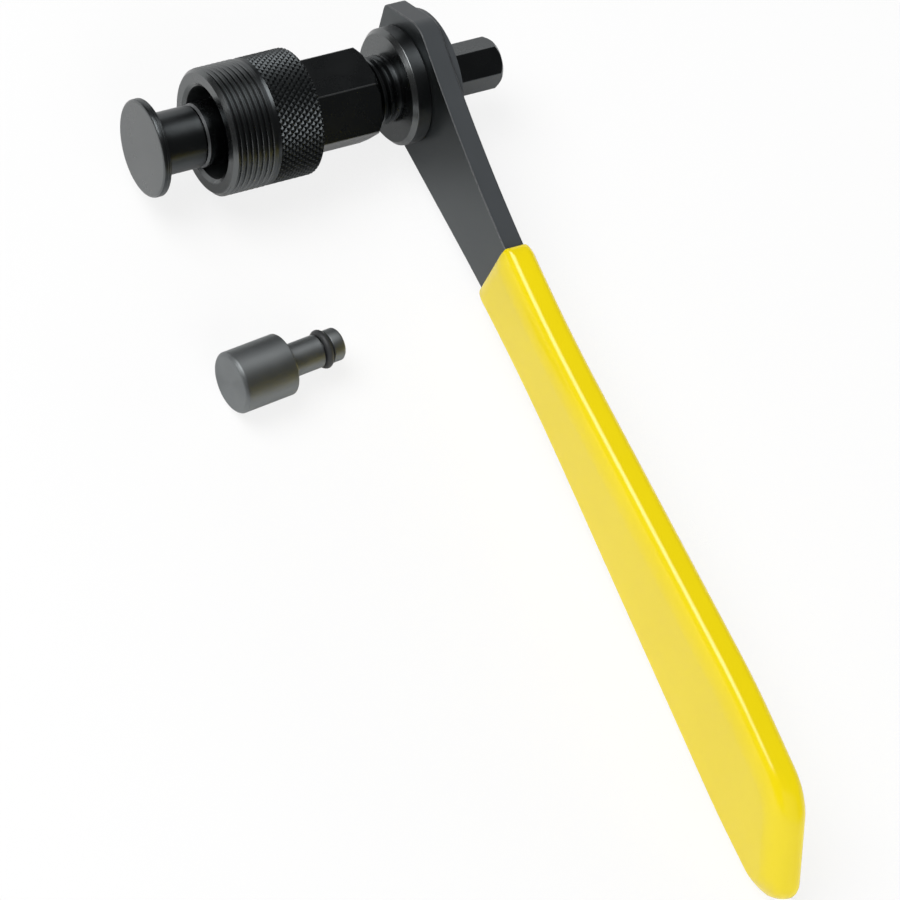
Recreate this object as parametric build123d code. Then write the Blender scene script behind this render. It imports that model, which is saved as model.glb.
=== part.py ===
from build123d import *
import math
import os

# Crank puller: a hand-turned screw press that draws a bicycle crank arm off its axle.
# The threaded body screws into the crank, and the handle drives a swivel tip against the axle.
# The screw axis is X, the tip points to -X, the handle runs to -Y and Z is up.
# The origin is on the screw axis where the crank thread reaches its full diameter. Sizes are in mm.

# Threaded body, turned from round bar with a hexagon milled on its rear end
CRANK_THREAD_DIA = 22.0
CRANK_THREAD_LENGTH = 7.2
THREAD_LEAD = 0.9
RELIEF_DIA = 21.4
RELIEF_LENGTH = 1.2
KNURL_DIA = 22.0
KNURL_LENGTH = 7.7
KNURL_EDGE_RADIUS = 0.6
WRENCH_FLATS = 15.0
WRENCH_LENGTH = 12.6
WRENCH_TURN = 48.5
WRENCH_CHAMFER = 0.8
CUP_DIA = 15.5
CUP_DEPTH = 12.0
CUP_CHAMFER = 0.45

# Drive screw, with a flange that backs the handle and a hexagonal tail
SCREW_DIA = 12.0
SCREW_CLEARANCE = 0.05
NOSE_REACH = 2.0
NOSE_CHAMFER = 0.7
SCREW_GAP = 4.9
NECK_DIA = 11.2
NECK_LENGTH = 1.5
FLANGE_DIA = 20.4
FLANGE_THICKNESS = 3.4
FLANGE_CHAMFER = 0.8
TAIL_FLATS = 8.0
TAIL_LENGTH = 12.3
TAIL_TURN = 86.0
TAIL_CORNER_RADIUS = 0.35
TAIL_CHAMFER = 0.8

# Flat handle bar, with a cut-cornered head, a waist and a slanted end
BAR_THICKNESS = 3.7
BAR_EDGE_CHAMFER = 0.25
HEX_SEAT_CLEARANCE = 0.03
HEAD_REACH = 12.35
HEAD_CORNER_HEIGHT = 6.6
HEAD_CORNER_RADIUS = 1.8
HEAD_END_LEAN = 12.6
HEAD_PEAK_HEIGHT = 13.9
HEAD_PEAK_BACK = 3.0
HEAD_PEAK_RADIUS = 5.0
HEAD_HEEL_DEPTH = 10.1
HEAD_HEEL_RADIUS = 5.0
UPPER_NECK_TAPER = 14.0
UPPER_NECK_RADIUS = 200.0
LOWER_NECK_TAPER = 5.2
LOWER_NECK_RADIUS = 300.0
FLARE_TAPER = 3.5
UPPER_BULGE_DISTANCE = 124.0
UPPER_BULGE_HEIGHT = 10.0
LOWER_BULGE_DISTANCE = 136.0
LOWER_BULGE_DEPTH = 10.7
BULGE_RADIUS = 100.0
UPPER_END_TAPER = 3.5
LOWER_END_TAPER = 1.0
END_DISTANCE = 146.5
END_LEAN = 31.5
END_UPPER_RADIUS = 9.0
END_LOWER_RADIUS = 2.7

# Dipped plastic coat over the far part of the bar, thickest round the bar's end
GRIP_START = 37.6
COAT_THICKNESS = 1.2
COAT_TIP = 2.6
COAT_FRONT_RADIUS = 2.5
COAT_BACK_RADIUS = 2.0
COAT_END_RADIUS = 4.8
COAT_DRIP_LEAN = -35.0
COAT_DRIP_DROP = 9.0
COAT_LIP_RADIUS = 0.9
COAT_BOND = 0.02

# Retaining washer staked on the tail behind the bar
WASHER_DIA = 24.4
WASHER_THICKNESS = 1.5
WASHER_EDGE_CHAMFER = 0.3

# Interchangeable push tips: a wide one for splined axles, a plain one for square axles
DISC_DIA = 16.8
DISC_THICKNESS = 1.4
DISC_FRONT_RADIUS = 0.6
DISC_REAR_RADIUS = 0.2
SHANK_DIA = 10.7
SHANK_LENGTH = 8.3
SHANK_CHAMFER = 0.3
SPARE_HEAD_DIA = 10.7
SPARE_HEAD_LENGTH = 10.2
SPARE_FRONT_CHAMFER = 0.5
SPARE_REAR_CHAMFER = 0.2
SWIVEL_GAP = 0.1
STEM_DIA = 5.7
STEM_LENGTH = 10.9
STEM_CHAMFER = 0.4
STEM_CLEARANCE = 0.25
SOCKET_SPARE_DEPTH = 0.6
GROOVE_DIA = 4.0
GROOVE_WIDTH = 1.9
GROOVE_FROM_END = 2.3
RING_CORD = 1.35
RING_BORE_CLEARANCE = 0.05
RING_SEAT_CLEARANCE = 0.03

# Where the plain tip lies, on the surface that the tool rests on
SPARE_MIDDLE_X = -2.3
SPARE_MIDDLE_Y = -41.1
SPARE_TURN = 5.4

# Stations along the screw axis
RING_FRONT = -THREAD_LEAD
KNURL_START = CRANK_THREAD_LENGTH + RELIEF_LENGTH
KNURL_END = KNURL_START + KNURL_LENGTH
BODY_END = KNURL_END + WRENCH_LENGTH
FLANGE_FRONT = BODY_END + SCREW_GAP
BAR_FRONT = FLANGE_FRONT + FLANGE_THICKNESS
BAR_BACK = BAR_FRONT + BAR_THICKNESS
WASHER_BACK = BAR_BACK + WASHER_THICKNESS
TAIL_END = WASHER_BACK + TAIL_LENGTH
NOSE_FRONT = RING_FRONT - NOSE_REACH
SHANK_REAR = NOSE_FRONT - SWIVEL_GAP
SOCKET_DIA = STEM_DIA + 2 * STEM_CLEARANCE


def turned(*profile):
    """Solid of revolution about X from (x, radius) points."""
    return revolve(make_face(Polyline(*profile, close=True)), axis=Axis.X)


def rims(solid, x, radius):
    """Circular edges of a turned solid at one station and radius."""
    tolerance = 0.001
    circles = solid.edges().filter_by(GeomType.CIRCLE)
    return circles.filter_by(
        lambda edge: abs(edge.arc_center.X - x) < tolerance and abs(edge.radius - radius) < tolerance
    )


def hexagon(x, flats, turn):
    """Hexagon across the given flats at station x, one corner turned from +Y towards +Z."""
    return Plane.YZ.offset(x) * RegularPolygon(flats / 2, 6, major_radius=False, rotation=turn)


def hex_bar(start, end, flats, turn, chamfer_length):
    """Hexagonal bar along X whose far corners are cut back by a 45 degree turned chamfer."""
    corner = flats / math.sqrt(3)
    bar = extrude(hexagon(start, flats, turn), end - start)
    envelope = turned(
        (start, 0),
        (start, corner),
        (end - chamfer_length, corner),
        (end, corner - chamfer_length),
        (end, 0),
    )
    return bar & envelope


def extractor_body():
    """Ring thread, knurled collar and wrench hexagon in one piece, bored through for the screw."""
    thread_radius = CRANK_THREAD_DIA / 2
    knurl_radius = KNURL_DIA / 2
    relief_radius = RELIEF_DIA / 2
    shell = turned(
        (RING_FRONT, 0),
        (RING_FRONT, thread_radius - THREAD_LEAD),
        (0, thread_radius),
        (CRANK_THREAD_LENGTH, thread_radius),
        (CRANK_THREAD_LENGTH, relief_radius),
        (KNURL_START, relief_radius),
        (KNURL_START, knurl_radius),
        (KNURL_END, knurl_radius),
        (KNURL_END, 0),
    )
    shell = fillet(rims(shell, KNURL_END, knurl_radius), KNURL_EDGE_RADIUS)
    shell += hex_bar(KNURL_END, BODY_END, WRENCH_FLATS, WRENCH_TURN, WRENCH_CHAMFER)
    cup_radius = CUP_DIA / 2
    bore_radius = SCREW_DIA / 2 + SCREW_CLEARANCE
    hollow = turned(
        (RING_FRONT, 0),
        (RING_FRONT, cup_radius + CUP_CHAMFER),
        (RING_FRONT + CUP_CHAMFER, cup_radius),
        (RING_FRONT + CUP_DEPTH, cup_radius),
        (RING_FRONT + CUP_DEPTH, bore_radius),
        (BODY_END, bore_radius),
        (BODY_END, 0),
    )
    return shell - hollow


def drive_spindle():
    """Screw with a socket in its nose, a flange and a hexagonal tail."""
    screw_radius = SCREW_DIA / 2
    flange_radius = FLANGE_DIA / 2
    neck_start = FLANGE_FRONT - NECK_LENGTH
    screw = turned(
        (NOSE_FRONT, 0),
        (NOSE_FRONT, screw_radius - NOSE_CHAMFER),
        (NOSE_FRONT + NOSE_CHAMFER, screw_radius),
        (neck_start, screw_radius),
        (neck_start, NECK_DIA / 2),
        (FLANGE_FRONT, NECK_DIA / 2),
        (FLANGE_FRONT, flange_radius - FLANGE_CHAMFER),
        (FLANGE_FRONT + FLANGE_CHAMFER, flange_radius),
        (BAR_FRONT, flange_radius),
        (BAR_FRONT, 0),
    )
    tail = hex_bar(BAR_FRONT, TAIL_END, TAIL_FLATS, TAIL_TURN, TAIL_CHAMFER)
    along = tail.edges().filter_by(Axis.X)
    tail = fillet(along, TAIL_CORNER_RADIUS)
    socket_end = NOSE_FRONT + STEM_LENGTH + SOCKET_SPARE_DEPTH
    socket = turned(
        (NOSE_FRONT, 0),
        (NOSE_FRONT, SOCKET_DIA / 2),
        (socket_end, SOCKET_DIA / 2),
        (socket_end, 0),
    )
    return screw + tail - socket


def crossing(point_a, angle_a, point_b, angle_b):
    """Point where two lines meet, each given by a point and its angle in degrees."""
    line_a = Vector(math.cos(math.radians(angle_a)), math.sin(math.radians(angle_a)))
    line_b = Vector(math.cos(math.radians(angle_b)), math.sin(math.radians(angle_b)))
    apart = Vector(*point_b) - Vector(*point_a)
    along = (apart.X * line_b.Y - apart.Y * line_b.X) / (line_a.X * line_b.Y - line_a.Y * line_b.X)
    meeting = Vector(*point_a) + line_a * along
    return (meeting.X, meeting.Y)


def bar_outline(tip):
    """Outline of the handle bar, in (y, z), with every corner rounded and its end further out by tip."""
    head_corner = (HEAD_REACH, HEAD_CORNER_HEIGHT)
    head_peak = (HEAD_PEAK_BACK, HEAD_PEAK_HEIGHT)
    heel = (0, -HEAD_HEEL_DEPTH)
    upper_bulge = (-UPPER_BULGE_DISTANCE, UPPER_BULGE_HEIGHT)
    lower_bulge = (-LOWER_BULGE_DISTANCE, -LOWER_BULGE_DEPTH)
    end_middle = (-END_DISTANCE - tip, 0)
    end_angle = 90 - END_LEAN
    corners = [
        (head_corner, HEAD_CORNER_RADIUS),
        (head_peak, HEAD_PEAK_RADIUS),
        (crossing(head_peak, UPPER_NECK_TAPER, upper_bulge, -FLARE_TAPER), UPPER_NECK_RADIUS),
        (upper_bulge, BULGE_RADIUS),
        (crossing(upper_bulge, UPPER_END_TAPER, end_middle, end_angle), END_UPPER_RADIUS),
        (crossing(lower_bulge, -LOWER_END_TAPER, end_middle, end_angle), END_LOWER_RADIUS),
        (lower_bulge, BULGE_RADIUS),
        (crossing(heel, -LOWER_NECK_TAPER, lower_bulge, FLARE_TAPER), LOWER_NECK_RADIUS),
        (crossing(heel, -LOWER_NECK_TAPER, head_corner, 90 - HEAD_END_LEAN), HEAD_HEEL_RADIUS),
    ]
    points = [point for point, radius in corners]
    radii = [radius for point, radius in corners]
    return make_face(FilletPolyline(*points, radius=radii, close=True))


def bar_solid(grow, tip=0):
    """The handle bar's blank, larger by grow on every face and longer by tip at its end."""
    outline = bar_outline(tip)
    if grow:
        outline = offset(outline, grow)
    return extrude(Plane.YZ.offset(BAR_FRONT - grow) * outline, BAR_THICKNESS + 2 * grow)


def handle_bar():
    """Flat steel bar, stamped to its outline, with a hexagonal hole for the screw's tail."""
    blank = bar_solid(0)
    flat_edges = blank.faces().sort_by(Axis.X)[0].edges() + blank.faces().sort_by(Axis.X)[-1].edges()
    blank = chamfer(flat_edges, BAR_EDGE_CHAMFER)
    hole = hexagon(BAR_FRONT, TAIL_FLATS + 2 * HEX_SEAT_CLEARANCE, TAIL_TURN)
    return blank - extrude(hole, BAR_THICKNESS)


def run_off(lean):
    """What the coat lacks at the front of its end, where the dip ran off in one broad curve leaning so far."""
    end_angle = math.radians(90 - END_LEAN)
    along_end = Vector(0, math.cos(end_angle), math.sin(end_angle))
    outward = Vector(0, -math.sin(end_angle), math.cos(end_angle))
    end_middle = Vector(BAR_FRONT - COAT_THICKNESS, -END_DISTANCE - COAT_TIP, 0)
    low_point = end_middle + outward * COAT_THICKNESS - along_end * COAT_DRIP_DROP
    run_angle = math.radians(90 - lean)
    across = Plane(origin=low_point, x_dir=(1, 0, 0), z_dir=(0, math.cos(run_angle), math.sin(run_angle)))
    curve = Pos(COAT_END_RADIUS, COAT_END_RADIUS) * Circle(COAT_END_RADIUS)
    section = Rectangle(2 * COAT_END_RADIUS, 2 * COAT_END_RADIUS) - curve
    return extrude(across * section, UPPER_BULGE_HEIGHT + LOWER_BULGE_DEPTH, both=True)


def grip_sleeve():
    """Coat over the bar's far part, closed round its end, with soft edges and an open mouth."""
    coat = bar_solid(COAT_THICKNESS, COAT_TIP)
    mouth_plane = Plane(origin=(0, -GRIP_START, 0), z_dir=(0, -1, 0))
    coat = split(coat, bisect_by=mouth_plane, keep=Keep.TOP)
    lips = coat.faces().sort_by(Axis.Y)[-1].edges()
    front_edges = coat.faces().sort_by(Axis.X)[0].edges()
    coat = fillet(front_edges.filter_by(lambda edge: edge not in lips), COAT_FRONT_RADIUS)
    lips = coat.faces().sort_by(Axis.Y)[-1].edges()
    back_edges = coat.faces().sort_by(Axis.X)[-1].edges()
    coat = fillet(back_edges.filter_by(lambda edge: edge not in lips), COAT_BACK_RADIUS)
    lips = coat.faces().sort_by(Axis.Y)[-1].edges()
    coat = fillet(lips, COAT_LIP_RADIUS)
    return coat - run_off(END_LEAN) - run_off(COAT_DRIP_LEAN) - bar_solid(COAT_BOND)


def retaining_washer():
    """Flat washer with a hexagonal hole, staked on the tail behind the bar."""
    washer_radius = WASHER_DIA / 2
    ring = turned(
        (BAR_BACK, 0),
        (BAR_BACK, washer_radius),
        (WASHER_BACK - WASHER_EDGE_CHAMFER, washer_radius),
        (WASHER_BACK, washer_radius - WASHER_EDGE_CHAMFER),
        (WASHER_BACK, 0),
    )
    hole = hexagon(BAR_BACK, TAIL_FLATS + 2 * HEX_SEAT_CLEARANCE, TAIL_TURN)
    return ring - extrude(hole, WASHER_THICKNESS)


def stem(start):
    """Snap-in stem of a push tip, from its shoulder at start, with a groove for its ring."""
    stem_radius = STEM_DIA / 2
    end = start + STEM_LENGTH
    groove_end = end - GROOVE_FROM_END
    groove_start = groove_end - GROOVE_WIDTH
    return turned(
        (start, 0),
        (start, stem_radius),
        (groove_start, stem_radius),
        (groove_start, GROOVE_DIA / 2),
        (groove_end, GROOVE_DIA / 2),
        (groove_end, stem_radius),
        (end - STEM_CHAMFER, stem_radius),
        (end, stem_radius - STEM_CHAMFER),
        (end, 0),
    )


def stem_ring(start, outer_radius):
    """Rubber ring in a stem's groove: round when free, an oval of the same area when squeezed."""
    inner_radius = GROOVE_DIA / 2 + RING_SEAT_CLEARANCE
    height = outer_radius - inner_radius
    width = RING_CORD**2 / height
    middle = start + STEM_LENGTH - GROOVE_FROM_END - GROOVE_WIDTH / 2
    section = Pos(middle, inner_radius + height / 2) * Ellipse(width / 2, height / 2)
    return revolve(section, axis=Axis.X)


def spline_tip():
    """Mounted push tip: a thin wide disc on a shank, with its stem in the screw's socket."""
    disc_radius = DISC_DIA / 2
    shank_radius = SHANK_DIA / 2
    disc_rear = SHANK_REAR - SHANK_LENGTH
    disc_front = disc_rear - DISC_THICKNESS
    head = turned(
        (disc_front, 0),
        (disc_front, disc_radius),
        (disc_rear, disc_radius),
        (disc_rear, shank_radius),
        (SHANK_REAR - SHANK_CHAMFER, shank_radius),
        (SHANK_REAR, shank_radius - SHANK_CHAMFER),
        (SHANK_REAR, 0),
    )
    head = fillet(rims(head, disc_front, disc_radius), DISC_FRONT_RADIUS)
    head = fillet(rims(head, disc_rear, disc_radius), DISC_REAR_RADIUS)
    return head + stem(SHANK_REAR)


def spline_tip_ring():
    """Ring that holds the mounted tip in the socket, squeezed to the socket's size."""
    return stem_ring(SHANK_REAR, SOCKET_DIA / 2 - RING_BORE_CLEARANCE)


def square_taper_tip():
    """Plain push tip before it is laid down: a short round head on the same stem."""
    head_radius = SPARE_HEAD_DIA / 2
    head = turned(
        (-SPARE_HEAD_LENGTH, 0),
        (-SPARE_HEAD_LENGTH, head_radius - SPARE_FRONT_CHAMFER),
        (SPARE_FRONT_CHAMFER - SPARE_HEAD_LENGTH, head_radius),
        (-SPARE_REAR_CHAMFER, head_radius),
        (0, head_radius - SPARE_REAR_CHAMFER),
        (0, 0),
    )
    return head + stem(0)


def square_taper_ring():
    """Ring on the plain tip's stem, free and round."""
    return stem_ring(0, GROOVE_DIA / 2 + RING_SEAT_CLEARANCE + RING_CORD)


def lay_down(piece):
    """Lay a piece of the plain tip on the resting surface, on the side of its head."""
    surface = -WASHER_DIA / 2
    axis_height = surface + SPARE_HEAD_DIA / 2
    middle = (STEM_LENGTH - SPARE_HEAD_LENGTH) / 2
    place = Pos(SPARE_MIDDLE_X, SPARE_MIDDLE_Y, axis_height) * Rot(0, 0, SPARE_TURN) * Pos(-middle, 0, 0)
    return place * piece


PIECES = {
    "extractor_body": extractor_body(),
    "drive_spindle": drive_spindle(),
    "handle_bar": handle_bar(),
    "grip_sleeve": grip_sleeve(),
    "retaining_washer": retaining_washer(),
    "spline_tip": spline_tip(),
    "spline_tip_ring": spline_tip_ring(),
    "square_taper_tip": lay_down(square_taper_tip()),
    "square_taper_ring": lay_down(square_taper_ring()),
}

os.makedirs("parts", exist_ok=True)
for name, piece in PIECES.items():
    export_step(piece, f"parts/{name}.step")
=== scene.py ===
import math

import bmesh
import bpy
from mathutils import Matrix, Quaternion, Vector


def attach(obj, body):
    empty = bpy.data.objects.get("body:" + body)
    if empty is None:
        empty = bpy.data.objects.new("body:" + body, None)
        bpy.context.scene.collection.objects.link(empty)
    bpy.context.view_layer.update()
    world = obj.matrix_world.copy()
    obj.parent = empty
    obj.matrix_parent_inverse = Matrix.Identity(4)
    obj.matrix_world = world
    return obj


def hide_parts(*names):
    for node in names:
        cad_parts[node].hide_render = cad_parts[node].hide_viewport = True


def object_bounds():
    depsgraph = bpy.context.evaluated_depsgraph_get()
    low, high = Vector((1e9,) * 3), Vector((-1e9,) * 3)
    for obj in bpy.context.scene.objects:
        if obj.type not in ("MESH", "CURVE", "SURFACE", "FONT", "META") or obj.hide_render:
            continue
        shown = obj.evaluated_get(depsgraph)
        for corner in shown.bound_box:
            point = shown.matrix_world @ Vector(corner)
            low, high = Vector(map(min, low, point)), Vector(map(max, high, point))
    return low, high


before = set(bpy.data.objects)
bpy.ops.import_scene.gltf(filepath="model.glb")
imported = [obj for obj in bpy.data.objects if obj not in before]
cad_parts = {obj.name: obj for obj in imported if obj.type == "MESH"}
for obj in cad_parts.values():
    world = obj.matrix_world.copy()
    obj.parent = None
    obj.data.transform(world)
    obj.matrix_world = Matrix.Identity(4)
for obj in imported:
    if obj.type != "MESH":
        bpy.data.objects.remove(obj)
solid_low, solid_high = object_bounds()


# The body is what screws into the crank arm. It is one bar of free-cutting steel, turned, threaded
# and knurled in the lathe, with a hexagon milled on its rear for a spanner, then blackened in a hot
# salt bath and oiled. The screw axis is X, and every size is in millimetres until MM scales it.
MM = 0.001
RING_FRONT = -0.9
LEAD_END = -0.25
THREAD_END = 6.9
KNURL_START = 7.45
KNURL_END = 16.1
BODY_END = 28.7
CUP_FLOOR = 11.1
CUP_RADIUS = 7.95
BORE_RADIUS = 6.05
RELIEF_RADIUS = 10.7
COLLAR_RADIUS = 11.0


def colour(code):
    """Linear RGBA from an sRGB hex code."""
    parts = [int(code[i : i + 2], 16) / 255 for i in (1, 3, 5)]
    return [c / 12.92 if c <= 0.04045 else ((c + 0.055) / 1.055) ** 2.4 for c in parts] + [1.0]


def knot(tree, kind, sockets, **settings):
    """Add one node, set its properties, and give each socket a value or the output that feeds it."""
    made = tree.nodes.new(kind)
    for name, value in settings.items():
        setattr(made, name, value)
    for name, value in sockets.items():
        if isinstance(value, bpy.types.NodeSocket):
            tree.links.new(value, made.inputs[name])
        else:
            made.inputs[name].default_value = value
    return made


def finish_named(name):
    """A new material, its node tree, its shader and its Object coordinates."""
    made = bpy.data.materials.new(name)
    made.use_nodes = True
    tree = made.node_tree
    place = knot(tree, "ShaderNodeTexCoord", {}).outputs["Object"]
    return made, tree, tree.nodes["Principled BSDF"], place


def patches(tree, place, size, detail):
    """Soft noise with patches about size mm wide."""
    sockets = {"Vector": place, "Scale": 1 / (size * MM), "Detail": detail}
    return knot(tree, "ShaderNodeTexNoise", sockets).outputs["Fac"]


def blend(tree, share, dark, light):
    """The colour between two hex codes that the noise picks."""
    sockets = {"Factor": share, "A": colour(dark), "B": colour(light)}
    return knot(tree, "ShaderNodeMix", sockets, data_type="RGBA").outputs["Result"]


def vary(tree, share, start, end):
    """A value that runs from start to end over the middle of the noise."""
    sockets = {"Value": share, "From Min": 0.3, "From Max": 0.7, "To Min": start, "To Max": end}
    return knot(tree, "ShaderNodeMapRange", sockets).outputs["Result"]


def relief(tree, height, depth, **under):
    """A bumped normal, depth mm deep, over another one if that is given."""
    sockets = {"Height": height, "Strength": 1.0, "Distance": depth * MM, **under}
    return knot(tree, "ShaderNodeBump", sockets).outputs["Normal"]


def turned_steel(name, dark, light, gloss, stretch, ring_spacing, ring_depth, centre=(0, 0, 0), turn=0):
    """Dark steel with lathe rings round an axis along X that is moved to centre and turned about Z."""
    made, tree, shader, place = finish_named(name)
    place = knot(
        tree, "ShaderNodeVectorMath", {0: place, 1: Vector(centre) * MM}, operation="SUBTRACT"
    ).outputs["Vector"]
    axis = (math.cos(math.radians(turn)), math.sin(math.radians(turn)), 0)
    round_it = knot(
        tree, "ShaderNodeVectorMath", {0: axis, 1: place}, operation="CROSS_PRODUCT"
    ).outputs["Vector"]
    round_it = knot(
        tree, "ShaderNodeVectorTransform", {"Vector": round_it}, vector_type="VECTOR",
        convert_from="OBJECT", convert_to="WORLD",
    ).outputs["Vector"]
    place = knot(
        tree, "ShaderNodeMapping", {"Vector": place, "Rotation": (0, 0, math.radians(turn))},
        vector_type="TEXTURE",
    ).outputs["Vector"]
    wave = {"Vector": place, "Scale": math.tau / (20 * ring_spacing * MM), "Distortion": 1.5, "Detail": 2.0}
    along = knot(tree, "ShaderNodeTexWave", wave, wave_type="BANDS", bands_direction="X").outputs["Fac"]
    across = knot(tree, "ShaderNodeTexWave", wave, wave_type="RINGS", rings_direction="X").outputs["Fac"]
    rings = knot(tree, "ShaderNodeMath", {0: along, 1: across}, operation="ADD").outputs[0]
    oil = patches(tree, place, 4, 3.0)
    shader.inputs["Metallic"].default_value = 1.0
    shader.inputs["Anisotropic"].default_value = stretch
    shader.inputs["Anisotropic Rotation"].default_value = 0.25
    tree.links.new(round_it, shader.inputs["Tangent"])
    tree.links.new(blend(tree, oil, dark, light), shader.inputs["Base Color"])
    tree.links.new(vary(tree, oil, gloss - 0.03, gloss + 0.03), shader.inputs["Roughness"])
    tree.links.new(relief(tree, rings, ring_depth), shader.inputs["Normal"])
    return made


def clouded(name, dark, light, size, detail, start_rough, end_rough, metal):
    """A finish that clouds from dark to light in patches about size mm wide, in gloss as well."""
    made, tree, shader, place = finish_named(name)
    cloud = patches(tree, place, size, detail)
    shader.inputs["Metallic"].default_value = metal
    tree.links.new(blend(tree, cloud, dark, light), shader.inputs["Base Color"])
    tree.links.new(vary(tree, cloud, start_rough, end_rough), shader.inputs["Roughness"])
    return made


# Black oxide on turned steel: a thin dark mirror under oil, which shows the white table as grey and
# the dim room as black. The lathe rings, really about 0.1 mm apart and drawn 0.25 mm apart, stretch
# each highlight along the axis.
black_turned = turned_steel("black_oxide_turned_steel", "#46494b", "#4d5051", 0.4, 0.85, 0.25, 0.0015)

# Black oxide on faced ends: a paler, evener mirror, with the rings of the facing cut about 0.45 mm apart.
black_faced = turned_steel("black_oxide_faced_steel", "#606364", "#676969", 0.26, 0.3, 0.45, 0.0015)

# Black oxide on milled flats: the same coat without rings, so that it is nearly black wherever it
# does not face the table, with faint cloudy patches about 5 mm wide.
black_milled = clouded("black_oxide_milled_steel", "#404345", "#494c4d", 5, 3.0, 0.24, 0.3, 1.0)

# Edges rubbed by hands and spanners: the black is thin there and bare steel shows through
# as a fine paler line, scuffed in patches of about 0.6 mm. The same pale line is also a painted
# highlight, standing for the light caught along these edges.
worn_edge_and_sheen = clouded("black_oxide_steel_worn_edge_and_painted_sheen", "#585a5c", "#767879", 0.6, 4.0, 0.5, 0.4, 1.0)

# Black oxide on the rolled knurl: the points are sharp and full of dry salt, so they are matt and only
# the flanks that face the lamp glint, in specks of about 0.5 mm.
black_knurled = clouded("black_oxide_knurled_steel", "#36393b", "#4c4f50", 0.5, 3.0, 0.4, 0.5, 1.0)

# The finishes' places in a piece's list, and how far a face must point along the axis to be a faced end.
TURNED, WORN_SHEEN, MILLED, FACED, KNURLED = range(5)
END_FACING = 0.6


def verts_in(items):
    return [item for item in items if isinstance(item, bmesh.types.BMVert)]


def radius_of(vert):
    """Distance of a vertex from the screw axis, in mm."""
    return math.hypot(vert.co.y, vert.co.z) / MM


def keep_radius(vert, radius):
    """Move a vertex straight to or from the screw axis, to a radius in mm."""
    scale = radius / radius_of(vert)
    vert.co.y *= scale
    vert.co.z *= scale


def rim_at(bm, x):
    """Open edges that lie in the plane at station x."""
    return [
        edge for edge in bm.edges
        if edge.is_boundary and all(abs(vert.co.x / MM - x) < 0.001 for vert in edge.verts)
    ]


def grow_rim(bm, rim):
    """Extrude an open rim in place, and return its new vertices and edges."""
    grown = bmesh.ops.extrude_edge_only(bm, edges=rim)["geom"]
    fresh = set(verts_in(grown))
    return fresh, [
        item for item in grown
        if isinstance(item, bmesh.types.BMEdge) and all(vert in fresh for vert in item.verts)
    ]


def carry(bm, rim, x, radius=None):
    """Carry an open rim on to station x, and to a round of the given radius, and return the new rim."""
    fresh, rim = grow_rim(bm, rim)
    for vert in fresh:
        vert.co.x = x * MM
        if radius:
            keep_radius(vert, radius)
    return rim


def cut_at(bm, x, drop_front=False, drop_rear=False):
    """Cut every face at station x, and drop what lies in front of it or behind it."""
    bmesh.ops.bisect_plane(
        bm, geom=bm.verts[:] + bm.edges[:] + bm.faces[:], dist=1e-7, plane_co=(x * MM, 0, 0),
        plane_no=(1, 0, 0), clear_inner=drop_front, clear_outer=drop_rear,
    )


def screw_thread(bm, start, end, pitch, radius, depth, crest, turn_steps):
    """A right-hand ridge wound round the screw axis from start to end, cut flat at both ends."""
    flank = (pitch - crest) * 0.42
    crest_round = 0.02
    first = start - 1.2 * pitch
    section = [
        (0, depth),
        (flank, crest_round),
        (flank + crest / 2, 0),
        (flank + crest, crest_round),
        (2 * flank + crest, depth),
        (pitch, depth),
    ]
    chain = [bm.verts.new(((first + x) * MM, (radius - low) * MM, 0)) for x, low in section]
    edges = [bm.edges.new(pair) for pair in zip(chain, chain[1:])]
    bmesh.ops.spin(
        bm, geom=chain + edges, cent=(0, 0, 0), axis=(1, 0, 0), dvec=(pitch * MM / turn_steps, 0, 0),
        angle=math.tau, steps=turn_steps,
    )
    wound = bm.verts[:] + bm.edges[:] + bm.faces[:]
    for turn in range(1, math.ceil((end - first) / pitch) + 1):
        copied = bmesh.ops.duplicate(bm, geom=wound)["geom"]
        bmesh.ops.translate(bm, verts=verts_in(copied), vec=(turn * pitch * MM, 0, 0))
    bmesh.ops.remove_doubles(bm, verts=bm.verts, dist=0.002 * MM)
    cut_at(bm, start, drop_front=True)
    cut_at(bm, end, drop_rear=True)


def join(bm, shell):
    """Add a finished shell to the piece that it belongs to."""
    bmesh.ops.recalc_face_normals(shell, faces=shell.faces)
    part = bpy.data.meshes.new("shell")
    shell.to_mesh(part)
    shell.free()
    bm.from_mesh(part)
    bpy.data.meshes.remove(part)


def hand_over(bm, name, materials, body, node):
    """Make the finished mesh an object that rides on its body and stands for its solid."""
    sharp_from = math.radians(28)
    for face in bm.faces:
        face.smooth = True
    for edge in bm.edges:
        if edge.is_manifold and edge.calc_face_angle() > sharp_from:
            edge.smooth = False
    mesh = bpy.data.meshes.new(name)
    bm.to_mesh(mesh)
    bm.free()
    for material in materials:
        mesh.materials.append(material)
    made = bpy.data.objects.new(name, mesh)
    bpy.context.scene.collection.objects.link(made)
    made.modifiers.new("flat_faces_stay_flat", "WEIGHTED_NORMAL").keep_sharp = True
    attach(made, body)
    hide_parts(node)


body = bmesh.new()

# The front sleeve: an M22 x 1 thread with a 45 degree lead, run out into a plain relief, and the cup
# with a broken edge, given as (depth, step outwards) from its ring face.
THREAD_RUN_OUT = 0.12
RING_EDGE = 1.1
CUP_EDGE = ((0, 0.7), (0.08, 0.6), (0.5, 0.06), (0.7, 0))
sleeve = bmesh.new()
screw_thread(
    sleeve, RING_FRONT, KNURL_START, pitch=1.0, radius=COLLAR_RADIUS, depth=0.36, crest=0.42, turn_steps=144
)
for station in (RING_FRONT + 0.25, RING_FRONT + 0.45, LEAD_END, THREAD_END, THREAD_END + THREAD_RUN_OUT):
    cut_at(sleeve, station)
for vert in sleeve.verts:
    station = vert.co.x / MM
    keep_radius(vert, min(radius_of(vert), COLLAR_RADIUS + min(station - LEAD_END, 0)))
    if station > THREAD_END + THREAD_RUN_OUT / 2:
        keep_radius(vert, RELIEF_RADIUS)
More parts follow.
